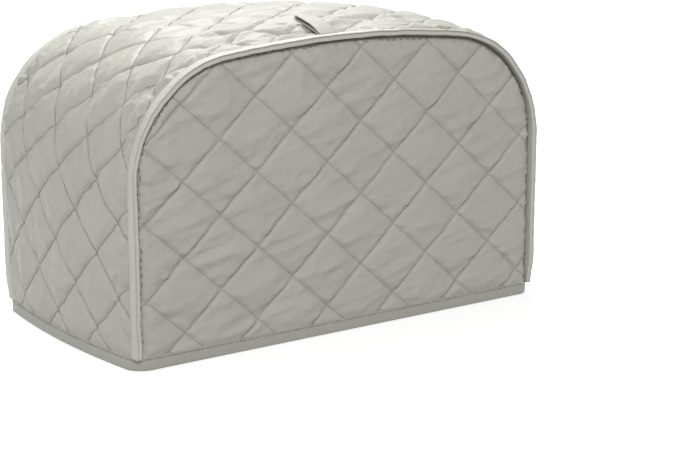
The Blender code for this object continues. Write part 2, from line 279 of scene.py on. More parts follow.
# Creases up the gusset's sides, in millimetres: first behind the front seam, then up
SIDE_CREASES = (
    Fold(8, 60, 26, 50, 1.1, 2.6, 2),
    Fold(7, 48, 22, 40, 0.9, 2.4, 1),
    Fold(6, 78, 18, 72, 0.8, 2.2, 1),
    Fold(28, 96, 34, 128, 0.7, 3.0, 2),
    Fold(40, 100, 46, 136, 0.6, 3.0, -2),
    Fold(60, 30, 66, 58, 0.6, 2.8, 2),
    Fold(84, 18, 92, 50, 0.7, 2.8, 2),
    Fold(102, 14, 112, 52, 0.7, 2.8, -2),
    Fold(120, 20, 126, 64, 0.8, 2.8, 2),
    Fold(136, 16, 142, 58, 0.9, 2.8, 2),
    Fold(150, 30, 156, 80, 1.0, 2.8, -2),
    Fold(160, 60, 163, 120, 1.1, 2.8, 2),
    Fold(146, 92, 152, 132, 0.9, 3.0, 2),
    Fold(132, 80, 136, 120, 0.7, 3.0, -2),
    Fold(70, 112, 78, 150, 0.8, 3.2, 2),
    Fold(96, 118, 104, 156, 0.8, 3.2, 2),
)


class CoverSizes(bpy.types.PropertyGroup):
    """Sizes of the cover that a user would change."""

    span: FloatProperty(
        name="Length", description="Between the outer edges of the end seams",
        default=SEAM_SPAN, unit="LENGTH",
    )
    depth: FloatProperty(
        name="Depth", description="From the front seam to the back seam",
        default=SEAM_DEPTH, unit="LENGTH",
    )
    shoulder: FloatProperty(
        name="Shoulder height", description="Height of the arch above its corners",
        default=0.179, unit="LENGTH",
    )
    arch: FloatProperty(
        name="Arch", description="How far the middle of the top rises over the shoulders",
        default=0.010, unit="LENGTH",
    )
    corner_wide: FloatProperty(
        name="Corner width", description="Width of the rounded corner",
        default=0.0655, unit="LENGTH",
    )
    corner_high: FloatProperty(
        name="Corner height", description="Height of the rounded corner",
        default=0.069, unit="LENGTH",
    )
    crown: FloatProperty(
        name="Crown", description="How far the gusset stands out between its seams",
        default=0.0070, unit="LENGTH",
    )
    half_high: FloatProperty(
        name="Half diamond height", description="Half the height of a stitched diamond",
        default=0.0229, unit="LENGTH",
    )
    half_panel: FloatProperty(
        name="Half diamond, panel", description="Half a diamond's width on the end panels",
        default=0.0258, unit="LENGTH",
    )
    half_gusset: FloatProperty(
        name="Half diamond, gusset", description="Half a diamond's width on the gusset",
        default=0.0240, unit="LENGTH",
    )
    puff: FloatProperty(
        name="Puff", description="Swell of a diamond over its stitch lines",
        default=0.0021, unit="LENGTH",
    )
    cells: IntProperty(
        name="Cells", description="Mesh cells in half a diamond", default=15, min=4, max=20,
    )
    stitch: FloatProperty(
        name="Stitch pitch", description="From one stitch to the next",
        default=0.0030, unit="LENGTH",
    )


class CoverLooks(bpy.types.PropertyGroup):
    """Colours and finish of the cover."""

    cloth: FloatVectorProperty(
        name="Cloth", description="Colour of the quilted cloth", subtype="COLOR",
        size=4, default=(0.454, 0.454, 0.406, 1.0), min=0.0, max=1.0,
    )
    tape: FloatVectorProperty(
        name="Tape", description="Colour of the binding tape", subtype="COLOR",
        size=4, default=(0.560, 0.560, 0.508, 1.0), min=0.0, max=1.0,
    )
    hem: FloatVectorProperty(
        name="Hem", description="Colour of the band round the bottom", subtype="COLOR",
        size=4, default=(0.392, 0.392, 0.350, 1.0), min=0.0, max=1.0,
    )
    # The thread is darker than the cloth: its own colour, plus painted shade for the grooves and seam gaps
    # the stitches lie in.
    thread: FloatVectorProperty(
        name="Thread", description="Colour of the quilting thread", subtype="COLOR",
        size=4, default=(0.250, 0.250, 0.222, 1.0), min=0.0, max=1.0,
    )
    roughness: FloatProperty(
        name="Roughness", description="How dull the satin face is",
        default=0.46, min=0.0, max=1.0, subtype="FACTOR",
    )


# Shape of the cover

def smooth(value):
    """Goes from 0 to 1 with flat ends."""
    t = np.clip(value, 0.0, 1.0)
    return t * t * (3.0 - 2.0 * t)


def soft_noise(a, b, seed):
    """Soft irregularity from -1 to 1; a bump is about one unit of a and b."""
    size = 64
    table = np.random.default_rng(seed).uniform(-1.0, 1.0, (size, size))
    i = np.floor(a).astype(int)
    j = np.floor(b).astype(int)
    fa = smooth(a - i)
    fb = smooth(b - j)
    low = table[i % size, j % size] * (1 - fa) + table[(i + 1) % size, j % size] * fa
    high = table[i % size, (j + 1) % size] * (1 - fa) + table[(i + 1) % size, (j + 1) % size] * fa
    return low * (1 - fb) + high * fb


class Outline:
    """The seam's outline in X and Z, measured along itself from the left hem to the right."""

    def __init__(self, sizes):
        left = -sizes.span / 2
        straight = sizes.shoulder - sizes.corner_high
        rise = np.linspace(0.0, 1.0, 160)
        turn = np.linspace(0.0, math.pi / 2, 500)[1:]
        run = np.linspace(0.0, 1.0, 200)[1:]
        x = np.concatenate((
            np.full(rise.size, left),
            left + sizes.corner_wide * (1 - np.cos(turn)),
            (left + sizes.corner_wide) * (1 - run),
        ))
        z = np.concatenate((
            straight * rise,
            straight + sizes.corner_high * np.sin(turn),
            np.full(run.size, sizes.shoulder),
        ))
        z = z + sizes.arch * (1 - (x / left) ** 2) ** 2
        self.x = np.concatenate((x, -x[-2::-1]))
        self.z = np.concatenate((z, z[-2::-1]))
        self.s = np.concatenate(((0.0,), np.cumsum(np.hypot(np.diff(self.x), np.diff(self.z)))))
        self.length = float(self.s[-1])
        self.straight = straight
        nx = -np.gradient(self.z, self.s)
        nz = np.gradient(self.x, self.s)
        size = np.hypot(nx, nz)
        self.nx = nx / size
        self.nz = nz / size

    def at(self, s):
        """X, Z and the outward direction at s; straight on past the ends."""
        inside = np.clip(s, 0.0, self.length)
        past = np.abs(s - inside)
        x = np.interp(inside, self.s, self.x)
        z = np.interp(inside, self.s, self.z) - past
        nx = np.interp(inside, self.s, self.nx)
        nz = np.interp(inside, self.s, self.nz)
        size = np.hypot(nx, nz)
        return x, z, nx / size, nz / size

    def from_side(self, s):
        """Distance along the outline from the nearer hem."""
        return np.minimum(s, self.length - s)


def crown_at(behind, sizes):
    t = np.clip(behind / sizes.depth, 0.0, 1.0)
    return sizes.crown * np.sin(math.pi * t) ** 0.8


def line_distances(u, v, half_wide, half_high):
    """Distance to the nearest rising and the nearest falling stitch line, and the largest."""
    spacing = 2 * half_wide * half_high / math.hypot(half_wide, half_high)
    rising = np.abs(((u - v) / 2 + 0.5) % 1.0 - 0.5) * spacing
    falling = np.abs(((u + v) / 2 + 0.5) % 1.0 - 0.5) * spacing
    return rising, falling, spacing / 2


def quilting(u, v, half_wide, half_high, upward, strong=1.0, weak=0.6):
    """Swell of a diamond from 0 at its lines to 1, and the depth share of the stitched groove.

    upward is 1 where V rises, -1 where it falls and 0 on level cloth: diamonds sag a little.
    strong and weak are the shares of the rising and of the falling lines.
    """
    rising, falling, _ = line_distances(u, v, half_wide, half_high)
    swell = 1.0
    for phase in ((v - u) / 2, (v + u) / 2):
        share = phase % 1.0
        share = np.where(upward < 0, 1 - share, share)
        sag = 1 - 0.16 * np.abs(upward)
        swell = swell * np.sin(math.pi * np.clip(share, 1e-6, 1) ** sag)
    groove = strong * np.exp(-((rising / RISING_GROOVE) ** 2))
    groove += weak * np.exp(-((falling / FALLING_GROOVE) ** 2))
    return np.clip(swell, 0, 1) ** 0.62, np.minimum(groove, 1.0)


def ramp(value, change):
    """Goes from 0 to 1 over a change."""
    return smooth((value - change.start) / change.length)


def streak_share(a, b, shape, seed):
    """Soft streaks along one direction, from -1 to 1."""
    along = a * math.cos(shape.angle) + b * math.sin(shape.angle)
    across = b * math.cos(shape.angle) - a * math.sin(shape.angle)
    return soft_noise(along / shape.long, across / shape.short + along / (shape.long * 4), seed)


def streaks(a, b, shape, seed):
    """Soft streaks of one height."""
    return shape.rise * streak_share(a, b, shape, seed)


def ridges(a, b, shape, seed):
    """Thin ridges between streaks."""
    return shape.rise * ((1 - np.abs(streak_share(a, b, shape, seed))) ** 5 - 0.15)


def lumps(a, b, shape, seed):
    """Soft lumps of one height."""
    return shape.rise * soft_noise(a / shape.first, b / shape.second, seed)


def away_from_edges(seam, to_hem, fade):
    """Goes from 0 at a bound seam and the hem band to 1 on the open cloth."""
    return smooth(seam / fade.seam) * smooth((to_hem + HEM_TUCK) / fade.hem)


def beside_edge(seam, reach):
    """Is strongest just beside a bound seam, and 0 at its edge."""
    return np.exp(-np.maximum(seam, 0) / reach) * smooth(seam / EDGE_START)


def edge_dip(seam, deep, wide):
    """How far the cloth dips at its sewn edge."""
    return deep * np.exp(-((np.maximum(seam, 0) / wide) ** 2))


def pulls(u, v, half_wide, half_high, seed):
    """Short wrinkles that run away from the stitch lines, from -1 to 1."""
    rising, falling, _ = line_distances(u, v, half_wide, half_high)
    from_rising = np.exp(-rising / 0.0055) * smooth(rising / 0.0020)
    from_falling = np.exp(-falling / 0.0045) * smooth(falling / 0.0020)
    first = soft_noise((u + v) * 4.6, (u - v) * 0.9, seed)
    second = soft_noise((u - v) * 4.6, (u + v) * 0.9, seed + 100)
    return first * from_rising + 0.7 * second * from_falling


def fold_height(a, b, folds):
    """Height of a table of folds at the points a, b, all in metres."""
    total = np.zeros_like(a)
    for fold in folds:
        start = np.array((fold.x0, fold.b0)) * MM
        end = np.array((fold.x1, fold.b1)) * MM
        run = end - start
        long = float(np.hypot(*run))
        along = ((a - start[0]) * run[0] + (b - start[1]) * run[1]) / long**2
        across = ((b - start[1]) * run[0] - (a - start[0]) * run[1]) / long
        across = across - fold.bend * MM * np.sin(math.pi * np.clip(along, 0, 1))
        ends = smooth(along / 0.25) * smooth((1 - along) / 0.25)
        total += fold.rise * MM * ends * np.exp(-((across / (fold.half * MM)) ** 2))
    return total


# Mesh helpers

def counted_grid(columns, rows, cells):
    """Flat grid whose X and Y are counts of half-diamonds, kept in the layer named counts."""
    bm = bmesh.new()
    wide = round((columns[1] - columns[0]) * cells)
    high = round((rows[1] - rows[0]) * cells)
    bmesh.ops.create_grid(bm, x_segments=wide, y_segments=high, size=0.5)
    counts = bm.verts.layers.float_vector.new("counts")
    for vert in bm.verts:
        u = columns[0] + (vert.co.x + 0.5) * (columns[1] - columns[0])
        v = rows[0] + (vert.co.y + 0.5) * (rows[1] - rows[0])
        vert[counts] = (u, v, 0.0)
    return bm, counts


def lay_flat(bm, counts, place):
    """Moves each point to its flat place, worked out from its counts."""
    fabric = np.array([vert[counts] for vert in bm.verts])
    a, b = place(fabric[:, 0], fabric[:, 1])
    for vert, x, y in zip(bm.verts, a, b):
        vert.co = (x, y, 0.0)


def split_along_stitches(bm, counts):
    """Cuts the cells so that edges run along both families of stitch lines."""
    rising = []
    falling = []
    for face in bm.faces:
        u = sum(vert[counts][0] for vert in face.verts) / len(face.verts)
        v = sum(vert[counts][1] for vert in face.verts) / len(face.verts)
        to_rising = abs((u - v + 1.0) % 2.0 - 1.0)
        to_falling = abs((u + v + 1.0) % 2.0 - 1.0)
        (rising if to_rising < to_falling else falling).append(face)
    first = bm.faces[:][0]
    run = Vector(first.verts[2][counts]) - Vector(first.verts[0][counts])
    fixed_rises = run.x * run.y > 0
    methods = ("FIXED", "ALTERNATE") if fixed_rises else ("ALTERNATE", "FIXED")
    for faces, method in zip((rising, falling), methods):
        bmesh.ops.triangulate(bm, faces=faces, quad_method=method)


def trim(bm, point, outward):
    """Cuts away what lies beyond a line of the flat cloth."""
    geometry = bm.verts[:] + bm.edges[:] + bm.faces[:]
    bmesh.ops.bisect_plane(
        bm, geom=geometry, dist=1e-7, clear_outer=True,
        plane_co=(*point, 0.0), plane_no=(*outward, 0.0),
    )


def double(bm, counts):
    """Adds the outer face of the cloth over the flat sheet, so the block is closed."""
    grown = bmesh.ops.extrude_face_region(bm, geom=bm.faces[:], use_keep_orig=True)["geom"]
    fresh = [item for item in grown if isinstance(item, bmesh.types.BMVert)]
    for vert in fresh:
        u, v, _ = vert[counts]
        vert[counts] = (u, v, 1.0)
    bmesh.ops.translate(bm, verts=fresh, vec=(0.0, 0.0, 1.0))
    bmesh.ops.recalc_face_normals(bm, faces=bm.faces[:])


def mesh_of(name, bm):
    mesh = bpy.data.meshes.new(name)
    bm.to_mesh(mesh)
    bm.free()
    return mesh


def points_of(mesh):
    co = np.empty(len(mesh.vertices) * 3)
    mesh.vertices.foreach_get("co", co)
    return co.reshape(-1, 3)


def read_layer(mesh, name):
    values = np.empty(len(mesh.vertices) * 3)
    mesh.attributes[name].data.foreach_get("vector", values)
    return values.reshape(-1, 3)


def move_points(mesh, points):
    mesh.vertices.foreach_set("co", np.ascontiguousarray(points, np.float32).ravel())
    mesh.update()


def link(name, mesh, material):
    old = bpy.data.objects.get(name)
    if old:
        bpy.data.objects.remove(old, do_unlink=True)
    made = bpy.data.objects.new(name, mesh)
    bpy.context.scene.collection.objects.link(made)
    mesh.materials.clear()
    mesh.materials.append(material)
    mesh.shade_smooth()
    return made


def rolled_grid(name, along, around, place, closed):
    """A grid rolled into a tube: place gives points for its along and around shares."""
    bm = bmesh.new()
    bmesh.ops.create_grid(bm, x_segments=along, y_segments=around, size=0.5)
    flat = np.array([vert.co for vert in bm.verts])
    shares = flat[:, :2] + 0.5
    points, fabric = place(shares[:, 0], shares[:, 1] % 1.0)
    layer = bm.verts.layers.float_vector.new("fabric")
    for vert, point, at in zip(bm.verts, points, fabric):
        vert.co = point
        vert[layer] = at
    bmesh.ops.remove_doubles(bm, verts=bm.verts[:], dist=1e-6)
    if not closed:
        rims = [edge for edge in bm.edges if edge.is_boundary]
        bmesh.ops.holes_fill(bm, edges=rims, sides=0)
    bmesh.ops.recalc_face_normals(bm, faces=bm.faces[:])
    return mesh_of(name, bm)


# Cloth faces

class GussetCloth:
    """Places points of the gusset from its half-diamond counts."""

    def __init__(self, sizes):
        self.sizes = sizes
        self.outline = Outline(sizes)

    def flat(self, u, v):
        """Distance behind the front seam, and distance along the outline."""
        s = GUSSET_CROSSING[1] + v * self.sizes.half_high
        side = self.outline.from_side(s)
        ease = smooth((side - EASE_FROM) / (EASE_FULL - EASE_FROM))
        pitch = self.sizes.half_gusset - EASE_NARROWING * ease
        behind = GUSSET_CROSSING[0] + pitch * u + EASE_GROWTH * ease * u * u
        return behind, s

    def height(self, u, v, behind, s):
        """Outer face over the smooth base, and the quilting's swell there."""
        sizes = self.sizes
        side = self.outline.from_side(s)
        seam = np.minimum(behind, sizes.depth - behind) - GUSSET_TUCK
        to_hem = side - BAND_HIGH[2]
        on_top = ramp(side, TOP_START)
        upward = np.where(s < self.outline.length / 2, 1.0, -1.0) * (1 - on_top)
        high = ramp(side, UPPER_START)
        strong = 1.0 - 0.45 * high - 0.15 * on_top
        weak = 0.35 + 0.50 * high - 0.35 * on_top
        swell, groove = quilting(
            u, v, sizes.half_gusset, sizes.half_high, upward, strong, weak,
        )
        flat = away_from_edges(seam, to_hem, GUSSET_FADE)
        swell = swell * flat * (1 - 0.35 * on_top)
        lift = sizes.puff * swell - GROOVE_DEEP * groove * smooth(seam / STITCH_FADE)
        lift += self.top_folds(behind, s, side, on_top) * smooth(seam / 0.005) * (1 - 0.35 * groove)
        on_side = 1 - ramp(side, SIDE_END)
        lift += fold_height(behind, side, SIDE_CREASES) * on_side * smooth(seam / STITCH_FADE)
        pulled = GUSSET_PULL * pulls(u, v, sizes.half_gusset, sizes.half_high, 13)
        fine = (
            streaks(behind, side, SIDE_STREAKS, 17)
            + pulled * (1 - 0.5 * on_top)
            + lumps(s, behind, GUSSET_LUMPS, 14)
            + ridges(behind, side, SIDE_RIDGES, 19) * (1 - groove) * (1 - on_top)
            + lumps(s, behind, GUSSET_DIMPLES, 15) * (1 - 0.6 * on_top)
        )
        return lift + fine * flat + self.gathers(behind, s, side, seam), swell

    def top_folds(self, behind, s, side, on_top):
        """Slack folds and long waves over the top and its shoulders, strongest at the front."""
        x, _, _, _ = self.outline.at(s)
        nearer = 1 - 0.6 * ramp(behind, FRONT_END)
        waves = streaks(x, behind, TOP_WAVES, 16) + streaks(x, behind, TOP_RIPPLES, 18)
        return nearer * (fold_height(x, behind, TOP_FOLDS) * on_top + ramp(side, WAVES_START) * waves)

    def gathers(self, behind, s, side, seam):
        """Puckers where the gusset is eased into its two seams."""
        arch = ramp(side, ARCH_START) * (1 - ramp(side, ARCH_END))
        ripple = soft_noise(s / 0.0036, behind / 0.011, 11)
        crumple = soft_noise(s / 0.0040 + 7, behind / 0.0045, 12)
        top = ramp(side, TOP_START)
        amount = GATHER_RISE + GATHER_ARCH * arch - GATHER_TOP * top
        puckers = amount * (0.6 * ripple + 0.8 * crumple * (0.4 + 0.6 * arch))
        return beside_edge(seam, GATHER_REACH) * puckers - edge_dip(seam, GATHER_DIP, EDGE_START)

    def points(self, behind, s, lift):
        x, z, nx, nz = self.outline.at(s)
        out = crown_at(behind, self.sizes) - GUSSET_RECESS + lift
        y = behind - self.sizes.depth / 2
        return np.stack((x + nx * out, y, z + nz * out), axis=-1)


class PanelCloth:
    """Places points of an end panel from its half-diamond counts."""

    def __init__(self, sizes, facing, seed):
        self.sizes = sizes
        self.outline = Outline(sizes)
        self.facing = facing
        self.seed = seed
        keep = slice(None, None, 6)
        self.rim = np.stack((self.outline.x[keep], self.outline.z[keep]), axis=-1)

    def flat(self, u, v):
        x = PANEL_CROSSING[0] + u * self.sizes.half_panel
        z = PANEL_CROSSING[1] + v * self.sizes.half_high
        return x, z

    def to_seam(self, x, z):
        """Distance from the panel's edge beside the bound seam."""
        nearest = np.full(x.shape, np.inf)
        for point in self.rim:
            nearest = np.minimum(nearest, np.hypot(x - point[0], z - point[1]))
        return nearest - PANEL_TUCK

    def height(self, u, v, x, z):
        """Outer face over the smooth base, and the quilting's swell there."""
        sizes = self.sizes
        seed = self.seed
        seam = self.to_seam(x, z)
        to_hem = z - BAND_HIGH[2]
        flat = away_from_edges(seam, to_hem, PANEL_FADE)
        upward = np.ones_like(u)
        swell, groove = quilting(u, v, sizes.half_panel, sizes.half_high, upward, 1.0, 0.45)
        swell = swell * flat
        lift = sizes.puff * swell - GROOVE_DEEP * groove * smooth(seam / STITCH_FADE)
        creases = fold_height(x * -self.facing, z, PANEL_CREASES)
        lift += creases * smooth(seam / 0.004) * (1 - 0.5 * groove)
        fine = (
            streaks(x, z, PANEL_STREAKS, seed)
            + PANEL_PULL * pulls(u, v, sizes.half_panel, sizes.half_high, seed + 1)
            + lumps(x, z, PANEL_LUMPS, seed + 2)
            + lumps(x, z, PANEL_DIMPLES, seed + 3)
            + ridges(x, z, PANEL_RIDGES, seed + 5) * (1 - groove)
        )
        puckers = lumps(x + z, x - z, PANEL_PUCKERS, seed + 4) * beside_edge(seam, PUCKER_REACH)
        return lift + fine * flat + puckers - edge_dip(seam, PANEL_DROP, PANEL_DROP_WIDE), swell

    def open_cloth(self, x, z):
        """Whether points lie on the panel, clear of its seam and of the hem band."""
        outline = self.outline
        top = np.interp(np.clip(x, outline.x[0], outline.x[-1]), outline.x, outline.z)
        under = (np.abs(x) < self.sizes.span / 2) & (z < top)
        return (self.to_seam(x, z) > SEAM_CLEAR) & (z > BAND_HIGH[2]) & under

    def points(self, x, z, lift):
        out = self.sizes.depth / 2 - PANEL_RECESS + lift
        return np.stack((x, self.facing * out, z), axis=-1)


def cloth_mesh(name, bm, counts, cloth):
    """Turns the trimmed flat sheet into the closed quilted wall."""
    double(bm, counts)
    mesh = mesh_of(name, bm)
    flat = points_of(mesh)
    fabric = read_layer(mesh, "counts")
    u = fabric[:, 0]
    v = fabric[:, 1]
    lift, swell = cloth.height(u, v, flat[:, 0], flat[:, 1])
    inner = lift - WALL - FILLING * swell
    lift = np.where(fabric[:, 2] > 0.5, lift, inner)
    move_points(mesh, cloth.points(flat[:, 0], flat[:, 1], lift))
    return mesh


def make_gusset(sizes, material):
    cloth = GussetCloth(sizes)
    length = cloth.outline.length
    rows = math.ceil((length - GUSSET_CROSSING[1]) / sizes.half_high)
    bm, counts = counted_grid((-2, 9), (-2, rows + 1), sizes.cells)
    lay_flat(bm, counts, cloth.flat)
    low = BAND_HIGH[2] - HEM_TUCK
    trim(bm, (GUSSET_TUCK, 0.0), (-1.0, 0.0))
    trim(bm, (sizes.depth - GUSSET_TUCK, 0.0), (1.0, 0.0))
    trim(bm, (0.0, low), (0.0, -1.0))
    trim(bm, (0.0, length - low), (0.0, 1.0))
    split_along_stitches(bm, counts)
    made = link("gusset_cloth", cloth_mesh("gusset_cloth", bm, counts, cloth), material)
    return made, cloth


def make_panel(name, sizes, material, facing, seed):
    cloth = PanelCloth(sizes, facing, seed)
    outline = cloth.outline
    columns = math.ceil(sizes.span / sizes.half_panel)
    bm, counts = counted_grid((-2, columns), (-1, 8), sizes.cells + 3)
    lay_flat(bm, counts, cloth.flat)
    trim(bm, (0.0, BAND_HIGH[2] - HEM_TUCK), (0.0, -1.0))
    arch = outline.length - 2 * outline.straight
    cuts = 60
    for step in range(cuts + 1):
        x, z, nx, nz = (float(value) for value in outline.at(outline.straight + arch * step / cuts))
        trim(bm, (x - nx * PANEL_TUCK, z - nz * PANEL_TUCK), (nx, nz))
    split_along_stitches(bm, counts)
    return link(name, cloth_mesh(name, bm, counts, cloth), material), cloth


# Bindings, hem and strap

def binding_section():
    """Bound seam's section as (out along the fin, across): flat tape with a shallow groove."""
    side = FIN_THICK / 2
    turn = FIN_ROUND
    root = -FIN_REACH
    rounded = [math.radians(angle) for angle in (-90, -60, -30, 0)]
    corner = [(-turn + turn * math.cos(t), -side + turn + turn * math.sin(t)) for t in rounded]
    front = [(0.0, -0.0006), (-0.00005, 0.0001), (-0.0003, 0.0003), (-0.0010, 0.0006)]
    front += [(-0.0010, 0.0008), (-0.0003, 0.0011)]
    outer = [(a, -b) for a, b in reversed(corner)]
    down = [(-0.0018, -side), (-0.0030, -side * 0.97), (-0.0042, -side), (root + 0.0006, -side)]
    up = [(a, -b) for a, b in down]
    return np.array([
        (root, -side * 0.7), *reversed(down), *corner, *front, *outer, *up, (root, side * 0.7),
    ])


def wander(s, seed, waver):
    """Slow unevenness along a seam."""
    return waver.amount * soft_noise(s / waver.length, np.zeros_like(s) + seed * 0.37, seed)


def make_binding(name, sizes, material, facing, seed):
    outline = Outline(sizes)
    section = binding_section()
    low = BAND_HIGH[2] - HEM_TUCK / 2
    run = outline.length - 2 * low
    count = len(section)

    def place(along, around):
        s = low + along * run
        index = np.round(around * count).astype(int) % count
        out = section[index, 0].copy()
        across = section[index, 1].copy()
        share = np.clip(1 + out / FIN_REACH, 0.0, 1.0)
        to_end = outline.from_side(s) - BAND_HIGH[2]
        tuck = FIN_TUCK * (1 - smooth(to_end / FIN_END_LONG)) * share
        arch = smooth((outline.from_side(s) - FIN_ARCH_START) / FIN_ARCH_LONG)
        sway = Wander(FIN_SWAYS[0].length, FIN_SWAYS[0].amount + FIN_ARCH_SWAY * arch)
        out += (wander(s, seed, FIN_REACHES[0]) + wander(s, seed + 1, FIN_REACHES[1])) * share
        across += (wander(s, seed + 2, sway) + wander(s, seed + 3, FIN_SWAYS[1])) * share
        x, z, nx, nz = outline.at(s)
        outward = out * math.sin(FIN_LEAN) + across * math.cos(FIN_LEAN)
        outward -= FIN_THICK / 2 + FIN_SET_IN
        forward = out * math.cos(FIN_LEAN) - across * math.sin(FIN_LEAN)
        outward -= tuck * math.sqrt(0.5)
        forward -= tuck * math.sqrt(0.5)
        y = facing * (sizes.depth / 2 + forward)
        points = np.stack((x + nx * outward, y, z + nz * outward), axis=-1)
        fabric = np.stack((s, around * 0.022, np.ones_like(s)), axis=-1)
        return points, fabric

    mesh = rolled_grid(name, round(run / FIN_STEP), count, place, closed=False)
    return link(name, mesh, material)


def hem_plan(sizes):
    """Points and outward directions once round the band's outer face, evenly spaced."""
    half_x = BAND_HIGH[0] - sizes.crown
    half_y = BAND_HIGH[1]
    corner = HEM_CORNER
    points = []
    outward = []
    turns = 24
    runs = 160
    for sign_x, sign_y, start in ((1, -1, -90.0), (1, 1, 0.0), (-1, 1, 90.0), (-1, -1, 180.0)):
        centre = np.array((sign_x * (half_x - corner), sign_y * (half_y - corner)))
        for step in range(turns + 1):
            angle = math.radians(start + 90.0 * step / turns)
            way = np.array((math.cos(angle), math.sin(angle)))
            points.append(centre + way * corner)
            outward.append(way)
        along_side = sign_x == sign_y * -1
        way = np.array((sign_x, 0.0)) if along_side else np.array((0.0, sign_y))
        last = points[-1]
        if along_side:
            goal = np.array((sign_x * half_x, -last[1]))
        else:
            goal = np.array((-last[0], sign_y * half_y))
        for step in range(1, runs):
            points.append(last + (goal - last) * step / runs)
            outward.append(way)
    points.append(points[0])
    outward.append(outward[0])
    points = np.array(points)
    outward = np.array(outward)
    crown = crown_at(points[:, 1] + sizes.depth / 2, sizes)
    points[:, 0] += np.sign(points[:, 0]) * crown * outward[:, 0] ** 2
    length = np.concatenate(((0.0,), np.cumsum(np.hypot(*np.diff(points, axis=0).T))))
    return points, outward, length


def hem_section():
    """Band's section as (out from its outer face, height)."""
    high = BAND_HIGH[2]
    inner = -0.0056
    return np.array([
        (inner, 0.0005), (inner + 0.0006, 0.0), (-0.0030, 0.0), (-0.0012, 0.0),
        (-0.0004, 0.0003), (-0.0001, 0.0011), (0.0, 0.0024), (0.0, high * 0.5),
        (-0.0001, high * 0.66), (-0.0005, high * 0.76), (-0.0004, high * 0.86),
        (-0.0005, high - 0.0005), (-0.0010, high), (-0.0018, high - 0.0001),
        (-0.0030, high - 0.0002), (inner + 0.0010, high), (inner + 0.0002, high - 0.0004),
        (inner, high * 0.7), (inner, high * 0.35),
    ])


def make_hem(sizes, material):
    points, outward, length = hem_plan(sizes)
    section = hem_section()
    count = len(section)
    total = float(length[-1])

    def place(along, around):
        s = along * total
        index = np.round(around * count).astype(int) % count
        px = np.interp(s, length, points[:, 0])
        py = np.interp(s, length, points[:, 1])
        ox = np.interp(s, length, outward[:, 0])
        oy = np.interp(s, length, outward[:, 1])
        size = np.hypot(ox, oy)
        out = section[index, 0].copy()
        height = section[index, 1].copy()
        lifted = smooth(height / 0.002)
        turn = 2 * math.pi * along
        ripple = soft_noise(30 + 60 * np.cos(turn), 30 + 60 * np.sin(turn), 41)
        fine = soft_noise(30 + 200 * np.cos(turn), 30 + 200 * np.sin(turn) + height / 0.006, 42)
        out += (HEM_RIPPLE * ripple + HEM_CRUMPLE * fine) * lifted
        height += HEM_WAVER * ripple * smooth((height - 0.004) / 0.004)
        spread = np.stack((px + ox / size * out, py + oy / size * out, height), axis=-1)
        fabric = np.stack((s, around * 0.028, np.ones_like(s)), axis=-1)
        return spread, fabric

    mesh = rolled_grid("hem_tape", round(total / HEM_STEP), count, place, closed=True)
    return link("hem_tape", mesh, material)


def strap_section(half):
    """Strap's section as (across, up), with soft edges."""
    soft = STRAP_THICK / 2
    points = []
    for side in (1, -1):
        for angle in (-90, -45, 0, 45, 90):
            t = math.radians(angle)
            points.append((side * (half - soft + soft * math.cos(t)), side * soft * math.sin(t) + soft))
        for share in (0.6, 0.2, -0.2, -0.6):
            points.append((side * share * (half - soft), soft + side * soft))
    return np.array(points)


def strap_path():
    """Middle of the folded strap, seen from its side: out from the seam, round and back."""
    share = np.linspace(0.0, 1.0, 60)
    behind = STRAP_FROM + (STRAP_TO - STRAP_FROM) * share
    foot = SEAM_HIGH[2] - STRAP_SINK
    low = foot + (STRAP_END_HIGH - foot) * share**0.62
    high = low + STRAP_THICK + STRAP_CLOSED + STRAP_OPENED * smooth(share / 0.5)
    radius = (high[-1] - low[-1]) / 2
    turn = np.linspace(-math.pi / 2, math.pi / 2, 16)[1:-1]
    end = (STRAP_TO + radius * np.cos(turn), low[-1] + radius * (1 + np.sin(turn)))
    return np.concatenate((
        np.stack((behind, low), axis=-1),
        np.stack(end, axis=-1),
        np.stack((behind, high), axis=-1)[::-1],
    ))


def make_strap(sizes, material):
    path = strap_path()
    length = np.concatenate(((0.0,), np.cumsum(np.hypot(*np.diff(path, axis=0).T))))
    way = np.gradient(path, length, axis=0)
    section = strap_section(STRAP_WIDE / 2)
    count = len(section)

    def place(along, around):
        at = along * length[-1]
        index = np.round(around * count).astype(int) % count
        across = section[index, 0]
        up = section[index, 1] - STRAP_THICK / 2
        along_y = np.interp(at, length, way[:, 0])
        along_z = np.interp(at, length, way[:, 1])
        size = np.hypot(along_y, along_z)
        behind = np.interp(at, length, path[:, 0]) + up * along_z / size
        z = np.interp(at, length, path[:, 1]) - up * along_y / size
        x = STRAP_CENTRE + across
        points = np.stack((x, behind - sizes.depth / 2, z), axis=-1)
        fabric = np.stack((at, across, np.ones_like(x)), axis=-1)
        return points, fabric

    mesh = rolled_grid("strap", 90, count, place, closed=False)
    return link("strap", mesh, material)


# Stitching

def stitch_template(long, radius):
    """One stitch along X: a short thread that dives into the cloth at both ends."""
    bm = bmesh.new()
    bmesh.ops.create_cone(
        bm, cap_ends=True, segments=5, radius1=radius, radius2=radius, depth=long,
    )
    turn_to_x = np.array(((0.0, 0.0, 1.0), (0.0, 1.0, 0.0), (-1.0, 0.0, 0.0)))
    upright = [edge for edge in bm.edges if abs(edge.verts[0].co.z - edge.verts[1].co.z) > long / 2]
    bmesh.ops.subdivide_edges(bm, edges=upright, cuts=2, use_grid_fill=True)
    for vert in bm.verts:
        x, y, z = turn_to_x @ np.array(vert.co)
        vert.co = (x, y, z - 1.6 * radius * (abs(x) * 2 / long) ** 2)
    bmesh.ops.recalc_face_normals(bm, faces=bm.faces[:])
    bm.verts.index_update()
    points = np.array([vert.co for vert in bm.verts])
    faces = [[vert.index for vert in face.verts] for face in bm.faces]
    bm.free()
    return points, faces


